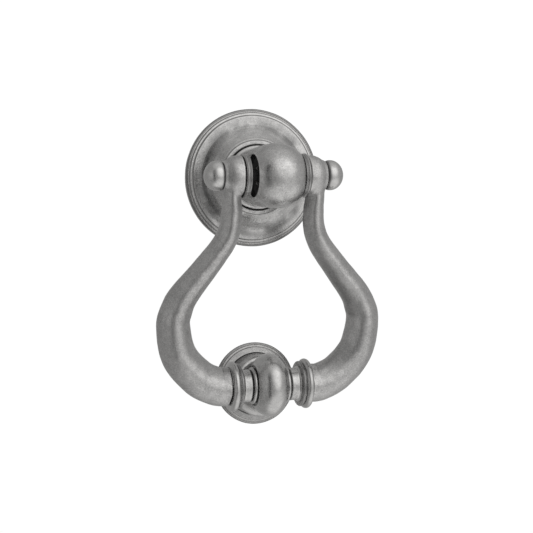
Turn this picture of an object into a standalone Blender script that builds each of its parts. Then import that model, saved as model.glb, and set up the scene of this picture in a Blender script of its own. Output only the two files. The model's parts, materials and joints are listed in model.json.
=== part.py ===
"""Loop door knocker: a pear-shaped loop that swings on a ball-ended post, and its strike plate.

Frame: +X to the right facing the door, +Y into the door, +Z up. The origin is the centre of
the rose's back, on the door's face. The loop is modelled lying against the strike button.
"""

import math

import bmesh
import bpy
from mathutils import Vector

# Driving dimensions, in metres
PIVOT_STANDOFF = 0.0476   # pivot axis in front of the door's face
LOOP_REACH = 0.1128       # pivot axis to the bottom bar's axis
LOOP_LEAN = math.radians(7.7)   # towards the door, where the ball meets the button
LOOP_SHIFT = -0.0014      # sideways play taken up towards the left
STRIKE_DROP = 0.114       # rose centre to strike plate centre
ROSE_RADIUS = 0.038
ROSE_HOLE = 0.0178
STRIKE_RADIUS = 0.0227
POST_BALL = 0.0172
SPOT_FACE = 0.0127        # flat on each side of the post's ball, from its middle
RECESS_FLOOR = 0.0104     # round recess in each flat, from the ball's middle
RECESS_RADIUS = 0.0112
EYE_INNER = 0.0178        # inner face of each arm's eye, from the loop's middle
EYE_FACE = 0.0281         # outer face, which the knob bears on
EYE_RADIUS = 0.0106
ARM_END = 0.0226          # where each arm meets its collar
STRIKER_RADIUS = 0.0169
STRIKER_HALF_WIDTH = 0.0108
PIN_RADIUS = 0.0030
TIE_RADIUS = 0.0025
STUD_RADIUS = 0.0030
STUD_REACH = 0.022        # how far the studs go into the door
POST_PIN_HEIGHT = 0.0130  # locating pins, above the stud they go with
BUTTON_PIN_HEIGHT = 0.0110
GAP = 0.0003              # clearance between pieces that touch
RUNNING_GAP = 0.0001      # between the pivot pin and the bushes it turns in
PLATE_STEPS = 40
STEPS = 24
SMALL_STEPS = 20

# One arm, eye to collar: (x, distance below the pivot, half width, half depth, and how far its
# widest line lies behind the middle of its depth)
ARM_STATIONS = (
    (0.0229, 0.0050, 0.0050, 0.0076, 0),
    (0.0229, 0.0125, 0.0050, 0.0074, 0),
    (0.0225, 0.0180, 0.0054, 0.0072, 0),
    (0.0232, 0.0275, 0.0058, 0.0070, 0.0008),
    (0.0269, 0.0368, 0.0061, 0.0070, 0.0018),
    (0.0366, 0.0498, 0.0068, 0.0073, 0.0022),
    (0.0469, 0.0628, 0.0078, 0.0080, 0.0024),
    (0.0508, 0.0703, 0.0085, 0.0085, 0.0024),
    (0.0526, 0.0790, 0.0090, 0.0090, 0.0020),
    (0.0494, 0.0950, 0.0097, 0.0097, 0.0014),
    (0.0393, 0.1070, 0.0101, 0.0101, 0.0008),
    (0.0292, 0.1123, 0.0104, 0.0104, 0.0005),
    (ARM_END, LOOP_REACH, 0.0105, 0.0105, 0.0004),
)
ARM_FLATTENING = 0.07     # how far the section's four quarters lie inside a true oval
ARM_SIDES = 16
RINGS_PER_STATION = 2
BUSH_LENGTH = 0.0090

TO_FRONT = (math.radians(90), 0, 0)    # turning axis points away from the door
TO_RIGHT = (0, math.radians(90), 0)
TO_LEFT = (0, math.radians(-90), 0)


def clear_scene():
    for old in list(bpy.data.objects):
        bpy.data.objects.remove(old, do_unlink=True)


def new_collection(name):
    collection = bpy.data.collections.new(name)
    bpy.context.scene.collection.children.link(collection)
    return collection


clear_scene()
PARTS = new_collection("loop_door_knocker")
GUIDES = new_collection("cutters_and_unions")


# Base colour and roughness of each metal
PEWTER = ((0.33, 0.33, 0.32), 0.45)
STEEL = ((0.52, 0.52, 0.52), 0.30)
BRONZE = ((0.48, 0.33, 0.17), 0.35)


def metal_material(name, metal):
    colour, roughness = metal
    material = bpy.data.materials.new(name)
    material.use_nodes = True
    shader = material.node_tree.nodes["Principled BSDF"]
    shader.inputs["Base Color"].default_value = (*colour, 1)
    shader.inputs["Roughness"].default_value = roughness
    shader.inputs["Metallic"].default_value = 1.0
    return material


def pivot_empty():
    """The loop hangs from this empty, whose X axis is the hinge's axis."""
    empty = bpy.data.objects.new("loop_pivot", None)
    empty.location = (LOOP_SHIFT, -PIVOT_STANDOFF, 0)
    empty.rotation_euler = (LOOP_LEAN, 0, 0)
    PARTS.objects.link(empty)
    return empty


PIVOT = pivot_empty()


def add_object(name, mesh, metal=None):
    """Link a mesh as a part with its own material, or as a hidden guide if it has no metal."""
    thing = bpy.data.objects.new(name, mesh)
    if metal is None:
        GUIDES.objects.link(thing)
        thing.hide_render = True
        thing.display_type = "WIRE"
    else:
        PARTS.objects.link(thing)
        mesh.materials.append(metal_material(name, metal))
    return thing


def turned(name, profile, steps, metal=None, ring=False):
    """Turn a profile of (radius, height) points, top to bottom down the outside, about Z."""
    mesh = bpy.data.meshes.new(name)
    points = [(radius, 0, height) for radius, height in profile]
    edges = [(i, i + 1) for i in range(len(points) - 1)]
    if ring:
        edges.append((len(points) - 1, 0))
    mesh.from_pydata(points, edges, [])
    thing = add_object(name, mesh, metal)
    screw = thing.modifiers.new("turn", "SCREW")
    screw.steps = steps
    screw.render_steps = steps
    screw.use_merge_vertices = True
    screw.merge_threshold = 0.00001
    screw.use_smooth_shade = True
    return thing


def arc(radius, height, across, along, start, end, count):
    """Points of a quarter round or a bead: an ellipse about (radius, height), angles in degrees."""
    points = []
    for i in range(count + 1):
        angle = math.radians(start + (end - start) * i / count)
        points.append((radius + across * math.cos(angle), height + along * math.sin(angle)))
    return points


def cylinder(name, radius, length, steps, metal=None):
    """A solid cylinder about Z, centred on its origin."""
    mesh = bpy.data.meshes.new(name)
    shape = bmesh.new()
    bmesh.ops.create_cone(
        shape, cap_ends=True, segments=steps, radius1=radius, radius2=radius, depth=length
    )
    shape.to_mesh(mesh)
    shape.free()
    mesh.shade_smooth()
    mesh.set_sharp_from_angle(angle=math.radians(40))
    return add_object(name, mesh, metal)


def place(thing, location, rotation=(0, 0, 0), parent=None):
    thing.location = location
    thing.rotation_euler = rotation
    thing.parent = parent
    return thing


def combine(thing, other, operation):
    change = thing.modifiers.new(operation.lower(), "BOOLEAN")
    change.operation = operation
    change.object = other


def make_rose():
    """Domed back plate: stepped rim, a flat shelf, a long cove and a raised lip round the post."""
    outside = [(ROSE_HOLE, 0.0116)]
    outside += arc(0.0186, 0.0116, 0.0008, 0.0008, 150, 90, 2)
    outside += [(0.0202, 0.0122), (0.0209, 0.0115), (0.0220, 0.0104), (0.0235, 0.0089)]
    outside += [(0.0250, 0.0076), (0.0275, 0.0057), (0.0290, 0.0048), (0.0303, 0.0043)]
    outside += [(0.0320, 0.0040), (0.0343, 0.0038), (0.0347, 0.0030)]
    outside += arc(0.0355, 0.0023, 0.0007, 0.0006, 120, 20, 3)
    outside += [(0.0365, 0.0018), (0.0371, 0.0021)]
    outside += arc(0.0374, 0.0015, 0.0006, 0.0006, 70, 0, 2)
    outside += [(ROSE_RADIUS, 0)]
    inside = [(0.0346, 0), (0.0332, 0.0022), (0.0284, 0.0041), (0.0232, 0.0063)]
    inside += [(0.0206, 0.0095), (ROSE_HOLE, 0.0095)]
    rose = turned("rose", outside + inside, PLATE_STEPS, PEWTER, ring=True)
    place(rose, (0, 0, 0), TO_FRONT)


def post_profile():
    ball = arc(0, PIVOT_STANDOFF, POST_BALL, POST_BALL, 90, 0, 8)
    body = [(0.0171, 0.0410), (0.0168, 0.0330), (0.0162, 0.0260), (0.0154, 0.0205)]
    cove = [(0.0150, 0.0178), (0.0151, 0.0158), (0.0158, 0.0143), (0.0166, 0.0137)]
    foot = [(0.0174, 0.0130), (0.0174, 0.0092), (0.0196, 0.0092), (0.0196, 0)]
    bore = [(STUD_RADIUS + GAP, 0), (STUD_RADIUS + GAP, 0.0280), (0, 0.0280)]
    return ball + body + cove + foot + bore


def make_post():
    """Post with a ball end, cross-bored for the pin, with a recessed flat on both sides."""
    post = turned("post", post_profile(), STEPS, PEWTER)
    place(post, (0, 0, 0), TO_FRONT)
    bore = cylinder("post_cross_bore", 0.0048, 0.05, SMALL_STEPS)
    place(bore, (0, -PIVOT_STANDOFF, 0), TO_RIGHT)
    combine(post, bore, "DIFFERENCE")
    for side in (-1, 1):
        flat = cylinder("post_spot_face", 0.0150, 0.010, STEPS)
        place(flat, (side * (SPOT_FACE + 0.005), -PIVOT_STANDOFF, 0), TO_RIGHT)
        combine(post, flat, "DIFFERENCE")
        recess = cylinder("post_recess", RECESS_RADIUS, 0.010, STEPS)
        place(recess, (side * (RECESS_FLOOR + 0.005), -PIVOT_STANDOFF, 0), TO_RIGHT)
        combine(post, recess, "DIFFERENCE")
    pin_hole = cylinder("post_pin_hole", 0.0018, 0.012, SMALL_STEPS)
    place(pin_hole, (0, 0, POST_PIN_HEIGHT), TO_FRONT)
    combine(post, pin_hole, "DIFFERENCE")


def make_post_bushes():
    """Plain bearing sleeves in both ends of the post's cross bore."""
    for name, side in (("left_post_bush", -1), ("right_post_bush", 1)):
        inner = PIN_RADIUS + RUNNING_GAP
        half = BUSH_LENGTH / 2
        profile = [(0.0045, half), (0.0045, -half), (inner, -half), (inner, half)]
        bush = turned(name, profile, SMALL_STEPS, BRONZE, ring=True)
        place(bush, (side * (RECESS_FLOOR - GAP - half), -PIVOT_STANDOFF, 0), TO_RIGHT)


def make_stud(name, depth, z):
    """Threaded fixing stud: screwed into its piece by depth, reaching into the door."""
    length = depth + STUD_REACH
    chamfer = 0.0008
    profile = [(0, length), (STUD_RADIUS - chamfer, length), (STUD_RADIUS, length - chamfer)]
    profile += [(STUD_RADIUS, chamfer), (STUD_RADIUS - chamfer, 0), (0, 0)]
    stud = turned(name, profile, SMALL_STEPS, STEEL)
    place(stud, (0, STUD_REACH, z), TO_FRONT)


def make_locating_pin(name, z):
    """Small pin that stops its piece turning on the stud, half of it in the door."""
    pin = cylinder(name, 0.0015, 0.0080, SMALL_STEPS, STEEL)
    place(pin, (0, 0.0012, z), TO_FRONT)


def make_strike_plate():
    """Small plate round the button: stepped rim and a gently sloped face."""
    outside = [(0.0173, 0.0034), (0.0176, 0.0036), (0.0202, 0.0026), (0.0205, 0.0021)]
    outside += arc(0.0212, 0.0018, 0.0007, 0.0007, 130, 10, 3)
    outside += [(0.0221, 0.0013)]
    outside += arc(0.0222, 0.0008, 0.0005, 0.0005, 70, 0, 2)
    outside += [(STRIKE_RADIUS, 0)]
    inside = [(0.0193, 0), (0.0193, 0.0015), (0.0173, 0.0015)]
    plate = turned("strike_plate", outside + inside, PLATE_STEPS, PEWTER, ring=True)
    place(plate, (0, 0, -STRIKE_DROP), TO_FRONT)


def make_strike_button():
    """Raised button that the striking ball hits, with a rounded lip and a shallow dish."""
    seat = PIVOT_STANDOFF - LOOP_REACH * math.sin(LOOP_LEAN) - STRIKER_RADIUS - GAP
    profile = [(0, seat), (0.0070, seat + 0.0002), (0.0118, seat + 0.0006)]
    profile += arc(0.0138, seat - 0.0022, 0.0032, 0.0030, 100, 0, 5)
    profile += [(0.0167, 0.0090), (0.0166, 0.0058), (0.0170, 0.0042), (0.0170, 0.0012)]
    profile += [(0.0190, 0.0012), (0.0190, 0)]
    profile += [(STUD_RADIUS + GAP, 0), (STUD_RADIUS + GAP, 0.0110), (0, 0.0110)]
    button = turned("strike_button", profile, STEPS, PEWTER)
    place(button, (0, 0, -STRIKE_DROP), TO_FRONT)
    pin_hole = cylinder("button_pin_hole", 0.0018, 0.012, SMALL_STEPS)
    place(pin_hole, (0, 0, BUTTON_PIN_HEIGHT - STRIKE_DROP), TO_FRONT)
    combine(button, pin_hole, "DIFFERENCE")


def on_both_sides(name, profile, drop, ring=True):
    """The same turned piece left and right, drop below the pivot, heights measured outwards."""
    for side, rotation in (("left_", TO_LEFT), ("right_", TO_RIGHT)):
        piece = turned(side + name, profile, STEPS, PEWTER, ring)
        place(piece, (0, 0, -drop), rotation, PIVOT)


def make_pivot_pin():
    """Pin through ball, rings, eyes and knobs."""
    end = 0.0338
    chamfer = 0.0006
    profile = [(0, end), (PIN_RADIUS - chamfer, end), (PIN_RADIUS, end - chamfer)]
    profile += [(PIN_RADIUS, chamfer - end), (PIN_RADIUS - chamfer, -end), (0, -end)]
    place(turned("pivot_pin", profile, SMALL_STEPS, STEEL), (0, 0, 0), TO_RIGHT, PIVOT)


def make_spacer_rings():
    """Turned ring between the post's ball and each eye: a wide bead and a narrow one."""
    outer = EYE_INNER - GAP
    bore = PIN_RADIUS + GAP
    profile = [(bore, outer), (0.0104, outer)]
    profile += arc(0.0106, outer - 0.0009, 0.0010, 0.0009, 80, -60, 3)
    profile += [(0.0108, outer - 0.0019)]
    profile += arc(0.0107, outer - 0.0025, 0.0006, 0.0006, 60, -80, 3)
    profile += [(bore, outer - 0.0031)]
    on_both_sides("spacer_ring", profile, 0)


def make_end_knobs():
    """Flattened bun screwed on each end of the pin, against the eye's outer face."""
    inner = EYE_FACE + GAP
    bore = PIN_RADIUS + GAP
    profile = arc(0, 0.0309, 0.0080, 0.0071, 90, 0, 7)
    profile += [(0.0078, inner + 0.0009), (0.0074, inner + 0.0002), (0.0070, inner)]
    profile += [(bore, inner), (bore, 0.0342), (0, 0.0342)]
    on_both_sides("end_knob", profile, 0, ring=False)


def smooth_stations(stations, count):
    """Points on a Catmull-Rom curve through the stations, count of them in each span."""
    points = [Vector(station) for station in stations]
    padded = [points[0] * 2 - points[1]] + points + [points[-1] * 2 - points[-2]]
    curve = []
    for before, start, end, after in zip(padded, padded[1:], padded[2:], padded[3:]):
        for i in range(count):
            t = i / count
            bend = 2 * before - 5 * start + 4 * end - after
            twist = 3 * start - before - 3 * end + after
            curve.append(start + ((end - before) * t + bend * t * t + twist * t ** 3) / 2)
    curve.append(points[-1])
    return curve


def arm_mesh(name, side):
    """Loft along the arm: an oval section below the eye that grows into a round one.

    The section is fuller in front than behind, because its widest line is set back.
    """
    curve = smooth_stations(ARM_STATIONS, RINGS_PER_STATION)
    shape = bmesh.new()
    rings = []
    for i, here in enumerate(curve):
        ahead = curve[min(i + 1, len(curve) - 1)] - curve[max(i - 1, 0)]
        across = Vector((ahead[1], ahead[0])).normalized()
        ring = []
        for k in range(ARM_SIDES):
            angle = 2 * math.pi * k / ARM_SIDES
            swell = 1 - ARM_FLATTENING * math.sin(2 * angle) ** 2
            out = here[2] * swell * math.cos(angle)
            x = here[0] + across.x * out
            depth = here[3] + math.copysign(here[4], -math.sin(angle))
            y = here[4] + depth * swell * math.sin(angle)
            z = -here[1] + across.y * out
            ring.append(shape.verts.new((side * x, y, z)))
        rings.append(ring)
    for first, second in zip(rings, rings[1:]):
        for k in range(ARM_SIDES):
            following = (k + 1) % ARM_SIDES
            shape.faces.new((first[k], first[following], second[following], second[k]))
    shape.faces.new(rings[0])
    shape.faces.new(rings[-1])
    bmesh.ops.recalc_face_normals(shape, faces=shape.faces)
    mesh = bpy.data.meshes.new(name)
    shape.to_mesh(mesh)
    shape.free()
    mesh.shade_smooth()
    mesh.set_sharp_from_angle(angle=math.radians(50))
    return mesh


def make_arm(name, side, rotation):
    """One cast arm: the lofted limb joined to its eye, bored for the pin and the tie rod."""
    arm = add_object(name, arm_mesh(name, side), PEWTER)
    place(arm, (0, 0, 0), parent=PIVOT)
    eye_profile = [(0, EYE_FACE), (0.0073, EYE_FACE), (0.0079, 0.0273)]
    eye_profile += arc(0.0026, 0.0202, 0.0080, 0.0083, 44, 0, 4)
    eye_profile += [(EYE_RADIUS, 0.0184), (0.0099, EYE_INNER), (0, EYE_INNER)]
    eye = turned(name + "_eye", eye_profile, STEPS)
    place(eye, (0, 0, 0), rotation, PIVOT)
    combine(arm, eye, "UNION")
    bore = cylinder(name + "_bore", PIN_RADIUS + GAP, 0.03, SMALL_STEPS)
    place(bore, (side * 0.023, 0, 0), rotation, PIVOT)
    combine(arm, bore, "DIFFERENCE")
    socket = cylinder(name + "_socket", TIE_RADIUS + GAP, 0.0170, SMALL_STEPS)
    place(socket, (side * ARM_END, 0, -LOOP_REACH), rotation, PIVOT)
    combine(arm, socket, "DIFFERENCE")


def make_collars():
    """Collar between arm and neck: a big bead, a small bead and a plain neck."""
    bore = TIE_RADIUS + GAP
    outer = ARM_END - GAP
    profile = [(bore, outer), (0.0112, outer)]
    profile += arc(0.0112, 0.0203, 0.0022, 0.0020, 80, -70, 5)
    profile += [(0.0118, 0.0182)]
    profile += arc(0.0109, 0.0171, 0.0013, 0.0010, 60, -80, 3)
    profile += [(0.0095, 0.0158), (0.0089, 0.0152), (0.0088, 0.0112), (0.0084, 0.0107)]
    profile += [(bore, 0.0107)]
    on_both_sides("collar", profile, LOOP_REACH)


def make_neck_rings():
    """Thin disc with a rounded edge between the striking ball and each neck."""
    bore = TIE_RADIUS + GAP
    profile = [(bore, 0.0104), (0.0082, 0.0104)]
    profile += arc(0.0088, 0.0092, 0.0010, 0.0010, 75, -75, 3)
    profile += [(0.0082, 0.0080), (bore, 0.0080)]
    on_both_sides("neck_ring", profile, LOOP_REACH)


def make_striking_ball():
    """Oblate ball in the middle of the bottom bar, recessed on both sides for its neck rings."""
    face = 0.0077
    seat = 0.0101
    cut = math.degrees(math.asin(0.0083 / STRIKER_HALF_WIDTH))
    bore = TIE_RADIUS + GAP
    profile = [(bore, face), (seat, face)]
    profile += arc(0, 0, STRIKER_RADIUS, STRIKER_HALF_WIDTH, cut, -cut, 14)
    profile += [(seat, -face), (bore, -face)]
    ball = turned("striking_ball", profile, STEPS, PEWTER, ring=True)
    place(ball, (0, 0, -LOOP_REACH), TO_RIGHT, PIVOT)


def make_tie_rod():
    """Rod that holds the bottom bar's pieces between the two arms."""
    end = 0.0300
    profile = [(0, end), (TIE_RADIUS, end), (TIE_RADIUS, -end), (0, -end)]
    rod = turned("tie_rod", profile, SMALL_STEPS, STEEL)
    place(rod, (0, 0, -LOOP_REACH), TO_RIGHT, PIVOT)


make_rose()
make_post()
make_post_bushes()
make_stud("post_stud", 0.0260, 0)
make_strike_plate()
make_strike_button()
make_stud("strike_stud", 0.0100, -STRIKE_DROP)
make_locating_pin("post_locating_pin", POST_PIN_HEIGHT)
make_locating_pin("button_locating_pin", BUTTON_PIN_HEIGHT - STRIKE_DROP)
make_pivot_pin()
make_spacer_rings()
make_end_knobs()
make_arm("left_arm", -1, TO_LEFT)
make_arm("right_arm", 1, TO_RIGHT)
make_collars()
make_neck_rings()
make_striking_ball()
make_tie_rod()
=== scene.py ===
"""Looks of the loop door knocker: fine cast and turned surfaces, antique pewter, and a studio.

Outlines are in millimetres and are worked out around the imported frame, which is in metres.
Every turned outline is a list of (radius, height) points about its piece's own axis.
"""

import json
import math

import bmesh
import bpy
import numpy as np
from mathutils import Matrix, Vector, noise


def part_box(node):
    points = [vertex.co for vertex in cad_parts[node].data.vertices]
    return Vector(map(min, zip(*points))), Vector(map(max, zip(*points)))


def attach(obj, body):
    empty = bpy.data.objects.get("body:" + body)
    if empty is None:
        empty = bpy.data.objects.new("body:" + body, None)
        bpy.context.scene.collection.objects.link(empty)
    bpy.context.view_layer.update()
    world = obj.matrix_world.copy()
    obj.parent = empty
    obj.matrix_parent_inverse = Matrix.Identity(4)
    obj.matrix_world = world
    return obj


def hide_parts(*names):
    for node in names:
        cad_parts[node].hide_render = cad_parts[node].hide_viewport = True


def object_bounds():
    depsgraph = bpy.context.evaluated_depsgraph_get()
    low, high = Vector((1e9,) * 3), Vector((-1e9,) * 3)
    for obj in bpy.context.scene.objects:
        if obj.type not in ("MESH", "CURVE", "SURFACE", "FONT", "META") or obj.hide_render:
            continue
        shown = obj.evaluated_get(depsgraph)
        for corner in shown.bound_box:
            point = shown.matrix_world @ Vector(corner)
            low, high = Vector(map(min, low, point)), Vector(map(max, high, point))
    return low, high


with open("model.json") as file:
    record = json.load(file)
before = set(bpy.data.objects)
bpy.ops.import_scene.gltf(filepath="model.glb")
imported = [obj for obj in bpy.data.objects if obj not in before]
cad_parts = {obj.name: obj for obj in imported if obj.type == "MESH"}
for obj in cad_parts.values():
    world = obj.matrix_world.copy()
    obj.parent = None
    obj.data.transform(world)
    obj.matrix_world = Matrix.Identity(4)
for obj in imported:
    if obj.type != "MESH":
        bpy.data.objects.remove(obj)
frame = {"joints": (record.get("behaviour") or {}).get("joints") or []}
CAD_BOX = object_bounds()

noise.seed_set(4)         # fixes where noise_vector reads its field, which else follows the clock

MM = 0.001
BODY_DOOR = "door_side"
BODY_LOOP = "loop"
GAP = 0.3                 # between pieces that touch, as in the frame
WELD = 0.002              # points nearer than this are one point


def middle(node):
    low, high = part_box(node)
    return (low + high) / 2


# Places read from the frame
PIVOT = Vector(frame["joints"][0]["pos_m"])
BAR = middle("tie_rod")                       # middle of the bottom bar
LEAN = math.atan2(BAR.y - PIVOT.y, PIVOT.z - BAR.z)
REACH = (BAR - PIVOT).length / MM             # pivot axis to the bottom bar's axis
STRIKE = Vector((0, 0, middle("strike_stud").z))
ROSE_RADIUS = (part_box("rose")[1].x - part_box("rose")[0].x) / 2 / MM
PLATE_RADIUS = (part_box("strike_plate")[1].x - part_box("strike_plate")[0].x) / 2 / MM
STANDOFF = -PIVOT.y / MM                      # pivot axis in front of the door

# Sizes in millimetres
POST_BALL = 17.2
SPOT_FACE = 12.7          # flat on each side of the post's ball, from its middle
SPOT_RADIUS = 15.0
RECESS_FLOOR = 10.4       # round recess in each flat, from the ball's middle
RECESS_RADIUS = 11.2
COVE_FOOT = 29.3          # radius where the rose's cove runs out into its shelf
CROSS_BORE = 4.8
BUSH_RADIUS = 4.5
BUSH_LENGTH = 9.0
PIN_RADIUS = 3.0
TIE_RADIUS = 2.5
STUD_RADIUS = 3.0
STUD_REACH = 22.0
STUD_PITCH = 1.0
EYE_INNER = 17.8          # inner face of each eye, from the middle of the pin
EYE_FACE = 28.1           # outer face, which the knob bears on
ARM_END = 22.6            # where each arm ends at its collar, from the middle of the bar
STRIKER_RADIUS = 16.9
STRIKER_HALF_WIDTH = 10.8
# Front of the strike button, from the door
SEAT = (middle("striking_ball") - STRIKE).y / -MM - STRIKER_RADIUS - GAP

# One arm, eye to collar: (x, distance below the pivot, half width, half depth, and how far its
# widest line lies behind the middle of its depth)
ARM_STATIONS = (
    (22.9, 5.0, 5.0, 7.6, 0),
    (22.9, 12.5, 5.0, 7.4, 0),
    (22.5, 18.0, 5.4, 7.2, 0),
    (23.2, 27.5, 5.8, 7.0, 0.8),
    (26.9, 36.8, 6.1, 7.0, 1.8),
    (36.6, 49.8, 6.8, 7.3, 2.2),
    (46.9, 62.8, 7.8, 8.0, 2.4),
    (50.8, 70.3, 8.5, 8.5, 2.4),
    (52.6, 79.0, 9.0, 9.0, 2.0),
    (49.4, 95.0, 9.7, 9.7, 1.4),
    (39.3, 107.0, 10.1, 10.1, 0.8),
    (29.2, 112.3, 10.4, 10.4, 0.5),
    (ARM_END, REACH, 10.5, 10.5, 0.4),
)

FLATTENING = 0.07         # how far the section's four quarters lie inside a true oval

# Axes of turned pieces: local +Z goes to the front of the door, or outwards along the pin
FRONT = Matrix.Rotation(math.radians(90), 4, "X")
RIGHT = Matrix.Rotation(math.radians(90), 4, "Y")
LEFT = Matrix.Rotation(math.radians(-90), 4, "Y")
LOOP = Matrix.Translation(PIVOT) @ Matrix.Rotation(LEAN, 4, "X")
POST_PIVOT = Matrix.Translation((0, PIVOT.y, PIVOT.z))


# Outlines ---------------------------------------------------------------------------------

def arc(radius, height, across, along, start, end, step=6):
    """Points on an ellipse about (radius, height), from one angle to another in degrees."""
    count = max(2, round(abs(end - start) / step))
    angles = np.radians(np.linspace(start, end, count + 1))
    return [(radius + across * math.cos(a), height + along * math.sin(a)) for a in angles]


def rounded(corners):
    """Round each (radius, height, fillet) corner of an open outline with its own fillet."""
    points = [Vector(corners[0][:2])]
    for before, here, after in zip(corners, corners[1:], corners[2:]):
        corner = Vector(here[:2])
        back = Vector(before[:2]) - corner
        ahead = Vector(after[:2]) - corner
        turn = math.pi - back.angle(ahead)
        if here[2] == 0 or turn < 0.02:
            points.append(corner)
            continue
        reach = min(here[2] * math.tan(turn / 2), 0.45 * back.length, 0.45 * ahead.length)
        start = corner + back.normalized() * reach
        end = corner + ahead.normalized() * reach
        count = max(2, math.ceil(math.degrees(turn) / 15))
        for i in range(count + 1):
            t = i / count
            points.append(start * (1 - t) ** 2 + corner * 2 * t * (1 - t) + end * t ** 2)
    points.append(Vector(corners[-1][:2]))
    return [tuple(point) for point in points]


def even_steps(outline, step):
    """The same outline with points about a step apart, its own corners kept by position."""
    points = np.array(outline, float)
    lengths = np.hypot(*np.diff(points, axis=0).T)
    along = np.concatenate([[0], np.cumsum(lengths)])
    keep = np.concatenate([[True], lengths > 1e-6])
    points, along = points[keep], along[keep]
    places = np.linspace(0, along[-1], max(4, round(along[-1] / step)) + 1)
    return np.column_stack([np.interp(places, along, points[:, i]) for i in (0, 1)])


def rod(radius, far, near, chamfer):
    """Outline of a plain rod between two heights, chamfered at both ends."""
    return [(0, far), (radius - chamfer, far), (radius, far - chamfer),
            (radius, near + chamfer), (radius - chamfer, near), (0, near)]


def groove_depth(points, closed, spread):
    """How far each outline point lies inside (+) or outside (-) its smoothed neighbourhood."""
    reach = 3 * spread
    kernel = np.exp(-0.5 * (np.arange(-reach, reach + 1) / spread) ** 2)
    kernel /= kernel.sum()
    mode = "wrap" if closed else "edge"
    padded = np.pad(points, ((reach, reach), (0, 0)), mode=mode)
    soft = np.column_stack([np.convolve(padded[:, i], kernel, "valid") for i in (0, 1)])
    tangent = np.gradient(padded, axis=0)[reach:-reach]
    normal = np.column_stack([tangent[:, 1], -tangent[:, 0]])
    normal /= np.maximum(np.hypot(*normal.T), 1e-9)[:, None]
    return ((soft - points) * normal).sum(axis=1)


# Pieces -----------------------------------------------------------------------------------

def positions(mesh):
    co = np.empty(len(mesh.vertices) * 3)
    mesh.vertices.foreach_get("co", co)
    return co.reshape(-1, 3)


def set_positions(mesh, co):
    mesh.vertices.foreach_set("co", np.ascontiguousarray(co).ravel())
    mesh.update()


def uneven(mesh, amount, size):
    """Push points about by a smooth random field, as a hand-finished casting wanders."""
    co = positions(mesh)
    shift = np.array([noise.noise_vector(Vector(p) / (size * MM)) for p in co])
    set_positions(mesh, co + shift * amount * MM)


def store_values(mesh, name, values):
    """Give each point a value that the materials can read by this name."""
    store = mesh.attributes.new(name, "FLOAT", "POINT")
    store.data.foreach_set("value", np.asarray(values, np.float32))


def clean(mesh):
    """Close the poles, point every face outwards and shade smooth."""
    shape = bmesh.new()
    shape.from_mesh(mesh)
    bmesh.ops.remove_doubles(shape, verts=shape.verts, dist=WELD * MM)
    bmesh.ops.recalc_face_normals(shape, faces=shape.faces)
    shape.to_mesh(mesh)
    shape.free()
    mesh.shade_smooth()


def turned_mesh(name, outline, matrix, sides, step=0.2, closed=False, winding=None):
    """Turn an outline about its height axis and place it. The outline runs down the outside.

    A winding gives each point's radius from its angle and height in place of the outline's.
    """
    if closed:
        outline = outline + [outline[0]]
    points = even_steps(outline, step)
    if closed:
        points = points[:-1]
    groove = groove_depth(points, closed, 3)
    angles = np.linspace(0, 2 * math.pi, sides, endpoint=False)
    rows = len(points)
    radius = np.repeat(points[:, :1], sides, axis=1)
    if winding:
        radius = np.minimum(radius, winding(angles[None], points[:, 1:]))
    co = np.empty((rows, sides, 3))
    co[:, :, 0] = radius * np.cos(angles)
    co[:, :, 1] = radius * np.sin(angles)
    co[:, :, 2] = points[:, 1:]
    mesh = bpy.data.meshes.new(name)
    faces = []
    for i in range(rows if closed else rows - 1):
        below = (i + 1) % rows
        for k in range(sides):
            n = (k + 1) % sides
            faces.append((i * sides + k, below * sides + k, below * sides + n, i * sides + n))
    mesh.from_pydata(co.reshape(-1, 3) * MM, [], faces)
    mesh.transform(matrix)
    store_values(mesh, "groove", np.repeat(groove, sides))
    clean(mesh)
    return mesh


def new_piece(mesh, material, body, node):
    piece = bpy.data.objects.new(node + "_fine", mesh)
    bpy.context.scene.collection.objects.link(piece)
    mesh.materials.clear()
    mesh.materials.append(material)
    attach(piece, body)
    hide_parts(node)
    return piece


def pewter_piece(node, mesh, body, material=None):
    new_piece(mesh, material or PEWTER, body, node)


def machined_piece(node, outline, matrix, slot, body, sides=64, **more):
    mesh = turned_mesh(node, outline, matrix, sides, **more)
    mesh.set_sharp_from_angle(angle=math.radians(35))
    material = STEEL if slot == "steel" else BRONZE
    new_piece(mesh, material, body, node)


def turned_piece(node, outline, matrix, body, sides=128, material=None, **more):
    mesh = turned_mesh(node, outline, matrix, sides, **more)
    uneven(mesh, 0.08, 9)
    pewter_piece(node, mesh, body, material)
    return mesh


def cut(mesh, *cutters):
    """Cut closed meshes out of a mesh and return what is left as a new mesh."""
    things = []
    for part in (mesh, *cutters):
        things.append(bpy.data.objects.new("cutting", part))
        bpy.context.scene.collection.objects.link(things[-1])
    for cutter in things[1:]:
        change = things[0].modifiers.new("cut", "BOOLEAN")
        change.operation = "DIFFERENCE"
        change.object = cutter
    return baked(things)


def baked(things):
    """The first object's mesh with its modifiers applied; all the objects are removed."""
    evaluated = things[0].evaluated_get(bpy.context.evaluated_depsgraph_get())
    result = bpy.data.meshes.new_from_object(evaluated)
    for old in things:
        bpy.data.objects.remove(old)
    return result


def neighbour_mean(co, edges, count):
    total = np.column_stack([
        np.bincount(edges[:, 0], co[edges[:, 1], i], len(co))
        + np.bincount(edges[:, 1], co[edges[:, 0], i], len(co)) for i in range(3)
    ])
    return total / count[:, None]


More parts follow.
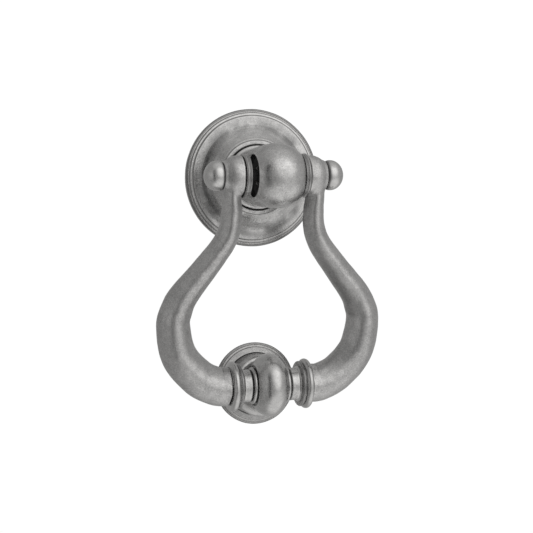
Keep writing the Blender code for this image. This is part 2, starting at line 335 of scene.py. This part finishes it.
def skin(mesh, voxel, fillet_rounds=0, zone=None):
    """Make one even skin round overlapping solids, ease its edges and fill its inner corners.

    The zone says, from the points, how strongly each one's inner corners are filled.
    """
    thing = bpy.data.objects.new("skin", mesh)
    bpy.context.scene.collection.objects.link(thing)
    change = thing.modifiers.new("skin", "REMESH")
    change.mode = "VOXEL"
    change.voxel_size = voxel * MM
    mesh = baked([thing])
    count_edges = len(mesh.edges)
    edges = np.empty(count_edges * 2, np.int32)
    mesh.edges.foreach_get("vertices", edges)
    edges = edges.reshape(-1, 2)
    co = positions(mesh)
    count = np.bincount(edges.ravel(), minlength=len(co))
    for _ in range(6):
        co += 0.5 * (neighbour_mean(co, edges, count) - co)
        co -= 0.52 * (neighbour_mean(co, edges, count) - co)
    normal = np.empty(len(co) * 3)
    for turn in range(fillet_rounds):
        if turn % 10 == 0:
            set_positions(mesh, co)
            mesh.vertices.foreach_get("normal", normal)
            facing = normal.reshape(-1, 3)
            strength = zone(co / MM)
        out = ((neighbour_mean(co, edges, count) - co) * facing).sum(axis=1)
        co += facing * (np.maximum(out, 0) * strength)[:, None]
    soft = co.copy()
    for _ in range(14):
        soft += 0.6 * (neighbour_mean(soft, edges, count) - soft)
    set_positions(mesh, co)
    mesh.vertices.foreach_get("normal", normal)
    groove = ((soft - co) * normal.reshape(-1, 3)).sum(axis=1) / MM
    store_values(mesh, "groove", groove - np.median(groove))
    mesh.shade_smooth()
    return mesh


# Materials --------------------------------------------------------------------------------

class Nodes:
    """A short way to build a node tree: the calls add nodes and return their outputs."""

    def __init__(self, tree):
        self.tree = tree

    def feed(self, socket, value):
        if isinstance(value, bpy.types.NodeSocket):
            self.tree.links.new(value, socket)
        else:
            socket.default_value = value

    def add(self, kind, settings=None, **sockets):
        node = self.tree.nodes.new(kind)
        for name, value in (settings or {}).items():
            setattr(node, name, value)
        for name, value in sockets.items():
            self.feed(node.inputs[name.replace("_", " ")], value)
        return node

    def math(self, operation, first, second=0.0):
        node = self.add("ShaderNodeMath", {"operation": operation})
        self.feed(node.inputs[0], first)
        self.feed(node.inputs[1], second)
        return node.outputs[0]

    def spread(self, value, low, high, to_low=0.0, to_high=1.0):
        """Map a value from one range to another, with an eased start and end."""
        node = self.add("ShaderNodeMapRange", {"interpolation_type": "SMOOTHSTEP"},
                        Value=value, From_Min=low, From_Max=high, To_Min=to_low, To_Max=to_high)
        return node.outputs["Result"]

    def noise(self, place, size, detail=3.0, roughness=0.55):
        """A noise whose spots are about size millimetres across."""
        node = self.add("ShaderNodeTexNoise", Vector=place, Scale=1 / (size * MM), Detail=detail,
                        Roughness=roughness)
        return node.outputs["Fac"]

    def attribute(self, name):
        """The value that store_values gave each point; 0 on a mesh without it."""
        return self.add("ShaderNodeAttribute", {"attribute_name": name}).outputs["Fac"]

    def mix(self, factor, first, second):
        node = self.add("ShaderNodeMix", {"data_type": "RGBA"})
        for socket, value in zip((0, 6, 7), (factor, first, second)):
            self.feed(node.inputs[socket], value)
        return node.outputs[2]


def grey(level, warmth=0.0):
    return (level * (1 + warmth), level, level * (1 - warmth), 1)


def new_material(name):
    material = bpy.data.materials.new(name)
    material.use_nodes = True
    return material, Nodes(material.node_tree), material.node_tree.nodes["Principled BSDF"]


def pewter_material(name, level, dullness, grit=1.0, rim=0.008):
    """Matte cast metal: mottled, finely pitted, dark in its grooves, rubbed on its edges, and
    with painted shade in narrow gaps, between parts and in marked recesses.

    The grain fades out where the surface is more hollow or sharper than the rim value.
    """
    material, nodes, shader = new_material(name)
    place = nodes.add("ShaderNodeTexCoord").outputs["Object"]
    groove = nodes.attribute("groove")
    deep = nodes.spread(groove, 0.02, 0.12)
    edge = nodes.spread(groove, -0.02, -0.12)
    plain = nodes.spread(nodes.math("ABSOLUTE", groove), rim, rim + 0.03, 1.0, 0.12)
    # Painted shade: near black in narrow gaps and corners, between parts too, and in the post's
    # marked recesses
    corner_shade = nodes.math("MAXIMUM", gap_shade(nodes, 4, 0.50, 0.16),
                         nodes.spread(groove, 0.6, 0.9))

    # Random fields from 0 to 1, the coarsest first
    blotches = nodes.spread(nodes.noise(place, 12, 4, 0.6), 0.36, 0.64)
    patches = nodes.spread(nodes.noise(place, 11, 4, 0.55), 0.36, 0.60)
    clouds = nodes.spread(nodes.noise(place, 3.0, 4, 0.65), 0.32, 0.68)
    grain = nodes.spread(nodes.noise(place, 1.0, 3, 0.65), 0.32, 0.68)
    pits = nodes.spread(nodes.noise(place, 0.7, 2, 0.5), 0.64, 0.72)
    specks = nodes.spread(nodes.noise(place, 0.5, 1, 0.5), 0.30, 0.70)
    grain = nodes.math("MULTIPLY", grain, plain)
    pits = nodes.math("MULTIPLY", pits, plain)
    specks = nodes.math("MULTIPLY", specks, plain)

    # Layers of colour, each with its place, strength and shade
    layers = (
        (nodes.math("MULTIPLY", blotches, grain), 0.45, grey(level / 2)),
        (clouds, 0.24, grey(level / 2)),
        (specks, 0.36 * grit, grey(level * 0.42)),
        (nodes.math("MULTIPLY", nodes.attribute("settled"), patches), 0.64, grey(0.13)),
        (edge, 0.4, grey(0.66, 0.008)),
        (deep, 0.7, grey(0.08)),
        (corner_shade, 0.95, grey(0.02)),
        (pits, 0.5, grey(0.12)),
    )
    tone = grey(level, 0.006)
    for where, strength, shade in layers:
        tone = nodes.mix(nodes.math("MULTIPLY", where, strength), tone, shade)
    nodes.feed(shader.inputs["Base Color"], tone)
    dull = nodes.spread(clouds, 0.0, 1.0, dullness, dullness + 0.07)
    dull = nodes.math("ADD", dull, nodes.math("MULTIPLY", corner_shade, 0.4))
    nodes.feed(shader.inputs["Roughness"], dull)
    nodes.feed(shader.inputs["Metallic"], nodes.spread(corner_shade, 0.1, 0.9, 1.0, 0.1))

    # Relief: how high each field stands, in millimetres
    height = 0.0
    for field, rise in ((clouds, 0.014), (grain, 0.012 * grit), (specks, 0.008 * grit),
                        (pits, -0.020)):
        height = nodes.math("ADD", nodes.math("MULTIPLY", field, rise * MM), height)
    height = nodes.math("MULTIPLY", height, plain)
    bump = nodes.add("ShaderNodeBump", Strength=1.0, Distance=1.0, Height=height)
    nodes.feed(shader.inputs["Normal"], bump.outputs["Normal"])
    return material


def gap_shade(nodes, distance, open_at, shut_at):
    """How far a point lies in a narrow gap or corner, also between parts, where painted shade
    goes.
    """
    closeness = nodes.add("ShaderNodeAmbientOcclusion", {"samples": 24}, Distance=distance * MM)
    return nodes.spread(closeness.outputs["AO"], open_at, shut_at)


def machined_material(name, light, dark, roughness):
    """Turned bar stock: fine tool marks, a little stain and painted shade, near black, in narrow
    gaps and corners.
    """
    material, nodes, shader = new_material(name)
    place = nodes.add("ShaderNodeTexCoord").outputs["Object"]
    stain = nodes.spread(nodes.noise(place, 4, 4, 0.6), 0.35, 0.7)
    marks = nodes.noise(place, 0.3, 2, 0.5)
    corner_shade = gap_shade(nodes, 8, 0.80, 0.50)
    # Painted shade: near black where the piece lies in a gap or corner
    tone = nodes.mix(nodes.math("MULTIPLY", corner_shade, 0.95), nodes.mix(stain, dark, light),
                     grey(0.02))
    nodes.feed(shader.inputs["Base Color"], tone)
    nodes.feed(shader.inputs["Roughness"],
               nodes.spread(marks, 0.3, 0.7, roughness, roughness + 0.1))
    nodes.feed(shader.inputs["Metallic"], nodes.spread(corner_shade, 0.1, 0.9, 1.0, 0.1))
    bump = nodes.add("ShaderNodeBump", Strength=0.5, Distance=1.0,
                     Height=nodes.math("MULTIPLY", marks, 0.006 * MM))
    nodes.feed(shader.inputs["Normal"], bump.outputs["Normal"])
    return material


PEWTER = pewter_material("antique_pewter", 0.56, 0.25)
ARM_PEWTER = pewter_material("handled_pewter", 0.56, 0.35, grit=1.4, rim=0.06)
ROSE_PEWTER = pewter_material("rose_pewter", 0.55, 0.25)
PLATE_PEWTER = pewter_material("strike_plate_pewter", 0.41, 0.25)
STEEL = machined_material("turned_steel", grey(0.56), grey(0.42), 0.28)
BRONZE = machined_material("bearing_bronze", (0.55, 0.37, 0.18, 1), (0.36, 0.23, 0.11, 1), 0.32)


# The door side ----------------------------------------------------------------------------

def at_front(z=0.0):
    """Turned about a line square to the door: heights are measured out from the door."""
    return Matrix.Translation((0, 0, z)) @ FRONT


def make_rose():
    """Stepped rim, a flat shelf, a long cove and a raised lip round the post.

    Old finish has settled in patches along the foot of the cove.
    """
    edge = ROSE_RADIUS
    corners = [(17.8, 9.6, 0), (17.8, 12.4, 0.7), (20.3, 12.35, 0.4), (20.75, 11.55, 0.15)]
    corners += [(21.2, 11.3, 0.5), (22.0, 10.36, 2.0), (25.0, 7.61, 9.0), (27.5, 5.75, 6.0)]
    corners += [(29.6, 4.45, 5.0), (31.9, 3.98, 6.0), (34.4, 3.85, 0.6), (34.75, 2.95, 0.3)]
    corners += [(35.9, 2.75, 0.6), (36.35, 1.75, 0.3)]
    corners += [(36.9, 2.15, 0.5), (edge - 0.3, 1.9, 0.6), (edge, 0.8, 0.4), (edge, 0, 0.15)]
    corners += [(34.6, 0, 0.2), (33.2, 2.2, 1.0)]
    corners += [(28.4, 4.1, 3.0), (23.2, 6.3, 2.0), (20.6, 9.5, 0.4), (17.9, 9.5, 0)]
    mesh = turned_piece("rose", rounded(corners), at_front(), BODY_DOOR, sides=240, step=0.16,
                        closed=True, material=ROSE_PEWTER)
    x, y, z = positions(mesh).T / MM
    from_foot = np.abs(np.hypot(x, z) - COVE_FOOT)
    in_front = y < -2.5
    store_values(mesh, "settled", np.clip(1.2 - from_foot / 3.6, 0, 1) * in_front)


def make_post():
    """Ball-ended post, with a recessed flat on both sides of its cross bore."""
    outline = arc(0, STANDOFF, POST_BALL, POST_BALL, 90, 0)
    outline += [(17.1, 41.0), (16.85, 34.0), (16.35, 27.0), (15.75, 21.5), (15.5, 20.3)]
    outline += [(15.1, 20.0), (15.0, 17.8), (15.05, 16.2), (15.4, 15.0), (15.9, 14.3)]
    outline += [(16.6, 13.8), (17.2, 13.5), (17.4, 13.0), (17.4, 9.2), (19.6, 9.2), (19.6, 0)]
    outline += [(0, 0)]
    top = SPOT_FACE + 9
    flat = [(0, top), (SPOT_RADIUS, top), (SPOT_RADIUS, SPOT_FACE), (RECESS_RADIUS, SPOT_FACE)]
    flat += [(RECESS_RADIUS, RECESS_FLOOR), (0, RECESS_FLOOR)]
    flats = [turned_mesh("flat", flat, POST_PIVOT @ turn, 96, step=0.5) for turn in (LEFT, RIGHT)]
    mesh = cut(turned_mesh("post", outline, at_front(), 160, step=0.5), *flats)
    mesh = skin(mesh, 0.34)
    uneven(mesh, 0.04, 9)
    paint_recess_shade(mesh)
    bores = [drill(CROSS_BORE, 25, -25, POST_PIVOT @ RIGHT)]
    bores.append(drill(STUD_RADIUS + GAP, 28, -5, at_front()))
    bores.append(drill(1.8, 6, -5, at_front(middle("post_locating_pin").z)))
    pewter_piece("post", cut(mesh, *bores), BODY_DOOR)


def paint_recess_shade(mesh):
    """Mark the post's two recesses as deep grooves, so that painted shade fills them near black.
    """
    x, y, z = positions(mesh).T / MM
    inside = np.abs(x) < SPOT_FACE - 0.25
    inside &= np.hypot(y - PIVOT.y / MM, z - PIVOT.z / MM) < RECESS_RADIUS + 0.3
    groove = np.empty(len(x), np.float32)
    mesh.attributes["groove"].data.foreach_get("value", groove)
    groove[inside] = 1.0
    mesh.attributes["groove"].data.foreach_set("value", groove)


def drill(radius, top, bottom, matrix):
    outline = [(0, top), (radius, top), (radius, bottom), (0, bottom)]
    return turned_mesh("drill", outline, matrix, 64, step=100)


def make_post_bushes():
    """Plain bearing sleeves with chamfered ends, in both ends of the cross bore."""
    outer, inner = BUSH_RADIUS, PIN_RADIUS + 0.1
    far = RECESS_FLOOR - GAP
    near = far - BUSH_LENGTH
    outline = [(outer - 0.3, far), (outer, far - 0.3), (outer, near + 0.3)]
    outline += [(outer - 0.3, near), (inner + 0.2, near), (inner, near + 0.2)]
    outline += [(inner, far - 0.2), (inner + 0.2, far)]
    for node, turn in (("left_post_bush", LEFT), ("right_post_bush", RIGHT)):
        machined_piece(node, outline, POST_PIVOT @ turn, "bronze", BODY_DOOR, closed=True)


def thread(angle, height):
    """Radius of the M6 thread: a wave that climbs one pitch each turn, flat at crest and root."""
    phase = (height / STUD_PITCH + angle / (2 * math.pi)) % 1
    wave = np.abs(phase * 2 - 1)
    return STUD_RADIUS - 0.55 * np.clip((wave - 0.15) / 0.65, 0, 1)


def make_stud(node, depth):
    """Threaded fixing stud: screwed into its piece by depth, reaching into the door."""
    outline = rod(STUD_RADIUS, depth, -STUD_REACH, 0.8)
    machined_piece(node, outline, at_front(middle(node).z), "steel", BODY_DOOR, sides=48,
                   step=STUD_PITCH / 8, winding=thread)


def make_locating_pin(node):
    low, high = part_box(node)
    outline = rod(1.5, -low.y / MM, -high.y / MM, 0.4)
    machined_piece(node, outline, at_front(middle(node).z), "steel", BODY_DOOR, sides=48)


def make_strike_plate():
    """Small plate round the button: stepped rim and a gently sloped face."""
    edge = PLATE_RADIUS
    corners = [(17.3, 1.5, 0), (17.3, 3.65, 0.15), (20.25, 2.75, 0.4), (20.55, 2.1, 0.3)]
    corners += [(21.5, 1.85, 0.4), (21.8, 1.1, 0.2)]
    corners += [(22.1, 1.3, 0.2), (edge, 1.1, 0.4), (edge, 0, 0.12), (19.3, 0, 0.15)]
    corners += [(19.3, 1.5, 0.15), (17.4, 1.5, 0)]
    turned_piece("strike_plate", rounded(corners), at_front(STRIKE.z), BODY_DOOR, sides=192,
                 step=0.13, closed=True, material=PLATE_PEWTER)


def make_strike_button():
    """Button with a rounded lip and a shallow dish, flanged behind the plate."""
    outline = [(0, SEAT), (6.0, SEAT), (9.0, SEAT + 0.1), (11.6, SEAT + 0.5)]
    outline += arc(13.8, SEAT - 2.2, 3.2, 3.05, 105, 0)
    outline += [(16.75, 9.0), (16.8, 7.0), (16.95, 5.5), (17.1, 4.4), (17.1, 1.2), (19.0, 1.2)]
    outline += [(19.0, 0), (0, 0)]
    mesh = turned_mesh("strike_button", outline, at_front(STRIKE.z), 160)
    uneven(mesh, 0.04, 9)
    bore = drill(STUD_RADIUS + GAP, 11, -5, at_front(STRIKE.z))
    pin_hole = drill(1.8, 6, -5, at_front(middle("button_locating_pin").z))
    pewter_piece("strike_button", cut(mesh, bore, pin_hole), BODY_DOOR)


# The loop ---------------------------------------------------------------------------------

def on_both_sides(node, outline, drop, **more):
    """The same turned piece left and right, drop below the pivot, heights measured outwards."""
    for side, turn in (("left_", LEFT), ("right_", RIGHT)):
        matrix = LOOP @ Matrix.Translation((0, 0, -drop * MM)) @ turn
        turned_piece(side + node, outline, matrix, BODY_LOOP, **more)


def make_pivot_pin():
    end = 33.8
    outline = rod(PIN_RADIUS, end, -end, 0.6)
    machined_piece("pivot_pin", outline, LOOP @ RIGHT, "steel", BODY_LOOP)


def make_tie_rod():
    end = 30.0
    outline = rod(TIE_RADIUS, end, -end, 0.5)
    matrix = LOOP @ Matrix.Translation((0, 0, -REACH * MM)) @ RIGHT
    machined_piece("tie_rod", outline, matrix, "steel", BODY_LOOP)


def make_spacer_rings():
    """Ring between the post's ball and each eye: a wide bead and a narrow one."""
    outer = EYE_INNER - GAP
    bore = PIN_RADIUS + GAP
    outline = [(bore, outer), (10.3, outer)]
    outline += arc(10.6, outer - 0.85, 1.05, 0.85, 82, -60)
    outline += [(10.85, outer - 1.75)]
    outline += arc(10.75, outer - 2.45, 0.75, 0.65, 60, -80)
    outline += [(10.2, outer - 3.1), (bore, outer - 3.1)]
    on_both_sides("spacer_ring", outline, 0, closed=True, step=0.12)


def make_end_knobs():
    """Flattened bun screwed on each end of the pin, against the eye's outer face."""
    bore = PIN_RADIUS + GAP
    inner = EYE_FACE + GAP
    outline = arc(0, 30.9, 8.0, 7.1, 90, 0)
    outline += [(7.96, inner + 1.6), (7.8, inner + 0.9), (7.5, inner + 0.3), (7.1, inner)]
    outline += [(bore, inner), (bore, 34.2), (0, 34.2)]
    on_both_sides("end_knob", outline, 0, sides=112)


def arm_curve(count):
    """Points on a Catmull-Rom curve through the arm's stations, count of them in each span."""
    points = [Vector(station) for station in ARM_STATIONS]
    padded = [points[0] * 2 - points[1]] + points + [points[-1] * 2 - points[-2]]
    curve = []
    for before, start, end, after in zip(padded, padded[1:], padded[2:], padded[3:]):
        for i in range(count):
            t = i / count
            bend = 2 * before - 5 * start + 4 * end - after
            twist = 3 * start - before - 3 * end + after
            curve.append(start + ((end - before) * t + bend * t * t + twist * t ** 3) / 2)
    return np.array(curve + [points[-1]])


def limb_mesh(side):
    """Loft along the arm: an oval section below the eye that grows into a round one.

    The section is fuller in front than behind, because its widest line is set back.
    """
    curve = arm_curve(14)
    sides = 56
    ahead = np.gradient(curve[:, :2], axis=0)
    across = np.column_stack([ahead[:, 1], ahead[:, 0]])
    across /= np.hypot(*across.T)[:, None]
    angles = np.linspace(0, 2 * math.pi, sides, endpoint=False)
    swell = 1 - FLATTENING * np.sin(2 * angles) ** 2
    out = curve[:, 2:3] * swell * np.cos(angles)
    co = np.empty((len(curve), sides, 3))
    co[:, :, 0] = side * (curve[:, :1] + across[:, :1] * out)
    depth = curve[:, 3:4] - curve[:, 4:5] * np.sign(np.sin(angles))
    co[:, :, 1] = curve[:, 4:5] + depth * swell * np.sin(angles)
    co[:, :, 2] = across[:, 1:] * out - curve[:, 1:2]
    last = (len(curve) - 1) * sides
    faces = [tuple(range(sides)), tuple(range(last + sides - 1, last - 1, -1))]
    for i in range(len(curve) - 1):
        for k in range(sides):
            n = (k + 1) % sides
            faces.append((i * sides + k, (i + 1) * sides + k, (i + 1) * sides + n, i * sides + n))
    mesh = bpy.data.meshes.new("limb")
    mesh.from_pydata(co.reshape(-1, 3) * MM, [], faces)
    clean(mesh)
    return mesh


def eye_zone(points):
    """Fill the corners round the foot of the eye, and nowhere else."""
    return np.clip((points[:, 2] + 20) / 5, 0, 1) * np.clip((-points[:, 2] - 1) / 4, 0, 1)


def make_arm(node, side, turn):
    """One cast arm: the limb flows out of its eye, with bores for the pin and the tie rod."""
    eye = [(0, EYE_FACE), (7.1, EYE_FACE), (7.6, 27.9), (7.85, 27.4), (8.05, 26.7)]
    eye += arc(2.6, 20.2, 8.0, 8.3, 42, 0)
    eye += [(10.6, 18.5), (10.2, EYE_INNER), (0, EYE_INNER)]
    shape = bmesh.new()
    shape.from_mesh(limb_mesh(side))
    shape.from_mesh(turned_mesh("eye", eye, turn, 128, step=0.3))
    mesh = bpy.data.meshes.new(node)
    shape.to_mesh(mesh)
    shape.free()
    mesh = skin(mesh, 0.34, 80, eye_zone)
    uneven(mesh, 0.18, 14)
    uneven(mesh, 0.10, 4.5)
    bore = drill(PIN_RADIUS + GAP, 40, 10, turn)
    at_bar = Matrix.Translation((0, 0, -REACH * MM)) @ turn
    socket = drill(TIE_RADIUS + GAP, ARM_END + 8.5, ARM_END - 5, at_bar)
    mesh = cut(mesh, bore, socket)
    mesh.transform(LOOP)
    pewter_piece(node, mesh, BODY_LOOP, ARM_PEWTER)


def make_collars():
    """Collar between arm and neck: a big bead, a small bead and a plain neck."""
    bore = TIE_RADIUS + GAP
    outer = ARM_END - GAP
    outline = [(bore, outer), (11.0, outer)]
    outline += arc(11.2, 20.3, 2.2, 1.95, 82, -72)
    outline += [(11.4, 18.25), (11.3, 18.1)]
    outline += arc(10.9, 17.1, 1.3, 1.0, 75, -85)
    outline += [(9.6, 15.9), (9.1, 15.4), (8.8, 14.9), (8.7, 13.0), (8.8, 11.3), (8.6, 10.9)]
    outline += [(8.2, 10.7), (bore, 10.7)]
    on_both_sides("collar", outline, REACH, closed=True, step=0.14)


def make_neck_rings():
    """Thin disc with a rounded edge between the striking ball and each neck."""
    bore = TIE_RADIUS + GAP
    outline = [(bore, 10.4), (8.2, 10.4)] + arc(8.75, 9.2, 1.05, 1.1, 80, -80)
    outline += [(8.2, 8.0), (bore, 8.0)]
    on_both_sides("neck_ring", outline, REACH, closed=True, step=0.12)


def make_striking_ball():
    """Oblate ball in the middle of the bottom bar, recessed on both sides for its neck rings."""
    face, seat = 7.7, 10.15
    end = math.degrees(math.asin(8.35 / STRIKER_HALF_WIDTH))
    bore = TIE_RADIUS + GAP
    outline = [(bore, face), (seat, face)]
    outline += arc(0, 0, STRIKER_RADIUS, STRIKER_HALF_WIDTH, end, -end, 4)
    outline += [(seat, -face), (bore, -face)]
    matrix = LOOP @ Matrix.Translation((0, 0, -REACH * MM)) @ RIGHT
    turned_piece("striking_ball", outline, matrix, BODY_LOOP, sides=176, closed=True)


make_rose()
make_post()
make_post_bushes()
make_stud("post_stud", 26.0)
make_stud("strike_stud", 10.0)
make_locating_pin("post_locating_pin")
make_locating_pin("button_locating_pin")
make_strike_plate()
make_strike_button()
make_pivot_pin()
make_spacer_rings()
make_end_knobs()
make_arm("left_arm", -1, LEFT)
make_arm("right_arm", 1, RIGHT)
make_collars()
make_neck_rings()
make_striking_ball()
make_tie_rod()


# The studio -------------------------------------------------------------------------------

# Each softbox: azimuth, elevation, radius at full power, radius where it fades out, power
SOFTBOXES = (
    (20, 25, 14, 48, 0.82),
    (60, 12, 10, 55, 0.10),
    (-72, 5, 10, 34, 0.18),
    (40, -67, 20, 62, 0.56),
    (40, 70, 10, 55, 0.30),
)
DARK_STRIP = (-47, 4, 11)     # azimuth, half width where it is darkest, half width in all
FILL_LIGHT = (0.41, 0.48)     # from all round: at the far left and at the far right

CAMERA_AZIMUTH = -16.52
CAMERA_ELEVATION = 1.92
CAMERA_ROLL = -0.78
CAMERA_DISTANCE = 0.8591
CAMERA_AIM = PIVOT + Vector((0.0005, 0.0176, -0.0483))
LENS = 108.07


def toward(azimuth, elevation):
    """Unit vector: azimuth 0 is straight in front of the door, positive to the right."""
    turn, lift = math.radians(azimuth), math.radians(elevation)
    return Vector((math.sin(turn) * math.cos(lift), -math.cos(turn) * math.cos(lift),
                   math.sin(lift)))


def make_floor():
    """Large pale floor, seamless with the studio: it shows to the eye and casts no light."""
    shape = bmesh.new()
    bmesh.ops.create_circle(shape, cap_ends=True, segments=96, radius=5.0)
    mesh = bpy.data.meshes.new("floor")
    shape.to_mesh(mesh)
    shape.free()
    floor = bpy.data.objects.new("floor", mesh)
    floor.location = (0, 0, CAD_BOX[0].z - 0.16)
    bpy.context.scene.collection.objects.link(floor)
    material, nodes, shader = new_material("pale_floor")
    tree = material.node_tree
    tree.nodes.remove(shader)
    ray = nodes.add("ShaderNodeLightPath").outputs["Is Camera Ray"]
    place = nodes.add("ShaderNodeTexCoord").outputs["Object"]
    paper = nodes.mix(nodes.noise(place, 300), grey(1.0), grey(1.03))
    glow = nodes.add("ShaderNodeEmission", Color=paper, Strength=1.0)
    clear = nodes.add("ShaderNodeBsdfTransparent")
    choose = nodes.add("ShaderNodeMixShader")
    nodes.feed(choose.inputs[0], ray)
    nodes.feed(choose.inputs[1], clear.outputs[0])
    nodes.feed(choose.inputs[2], glow.outputs[0])
    nodes.feed(tree.nodes["Material Output"].inputs["Surface"], choose.outputs[0])
    mesh.materials.append(material)


def make_light():
    """Soft light from all round, softboxes in it, and a dark strip at the left.

    The camera itself sees a plain white backdrop.
    """
    world = bpy.data.worlds.new("studio")
    world.use_nodes = True
    bpy.context.scene.world = world
    nodes = Nodes(world.node_tree)
    direction = nodes.add("ShaderNodeTexCoord").outputs["Generated"]

    def along(vector):
        node = nodes.add("ShaderNodeVectorMath", {"operation": "DOT_PRODUCT"})
        nodes.feed(node.inputs[0], direction)
        nodes.feed(node.inputs[1], vector)
        return node.outputs["Value"]

    def softbox(azimuth, elevation, core, reach, power):
        return nodes.spread(along(toward(azimuth, elevation)), math.cos(math.radians(reach)),
                            math.cos(math.radians(core)), 0.0, power)

    light = nodes.spread(along(Vector((1, 0, 0))), -0.9, 0.9, *FILL_LIGHT)
    for box in SOFTBOXES:
        light = nodes.math("ADD", light, softbox(*box))

    # The dark strip stands upright on one side and fades out above and below
    azimuth, core, reach = DARK_STRIP
    aside = nodes.math("ABSOLUTE", along(toward(azimuth + 90, 0)))
    strip = nodes.spread(aside, math.sin(math.radians(reach)), math.sin(math.radians(core)))
    strip = nodes.math("MULTIPLY", strip, nodes.spread(along(toward(azimuth, 0)), 0.3, 0.6))
    rise = along(Vector((0, 0, 1)))
    strip = nodes.math("MULTIPLY", strip, nodes.spread(rise, -0.80, -0.50))
    strip = nodes.math("MULTIPLY", strip, nodes.spread(rise, 0.75, 0.50))
    light = nodes.math("MULTIPLY", light, nodes.spread(strip, 0.0, 1.0, 1.0, 0.0))

    tree = world.node_tree
    studio = tree.nodes["Background"]
    studio.inputs["Color"].default_value = (1.0, 0.992, 0.98, 1)
    nodes.feed(studio.inputs["Strength"], light)
    backdrop = nodes.add("ShaderNodeBackground", Color=(1, 1, 1, 1), Strength=1.02)
    choose = nodes.add("ShaderNodeMixShader")
    nodes.feed(choose.inputs[0], nodes.add("ShaderNodeLightPath").outputs["Is Camera Ray"])
    nodes.feed(choose.inputs[1], studio.outputs[0])
    nodes.feed(choose.inputs[2], backdrop.outputs[0])
    nodes.feed(tree.nodes["World Output"].inputs["Surface"], choose.outputs[0])


def make_camera():
    data = bpy.data.cameras.new("camera")
    data.lens = LENS
    data.sensor_width = 36
    camera = bpy.data.objects.new("camera", data)
    bpy.context.scene.collection.objects.link(camera)
    back = toward(CAMERA_AZIMUTH, CAMERA_ELEVATION)
    right = Vector((0, 0, 1)).cross(back).normalized()
    upright = Matrix((right, back.cross(right), back)).transposed().to_4x4()
    roll = Matrix.Rotation(math.radians(CAMERA_ROLL), 4, "Z")
    camera.matrix_world = (Matrix.Translation(CAMERA_AIM + back * CAMERA_DISTANCE)
                           @ upright @ roll)
    bpy.context.scene.camera = camera


make_floor()
make_light()
make_camera()
bpy.context.scene.view_settings.view_transform = "Standard"
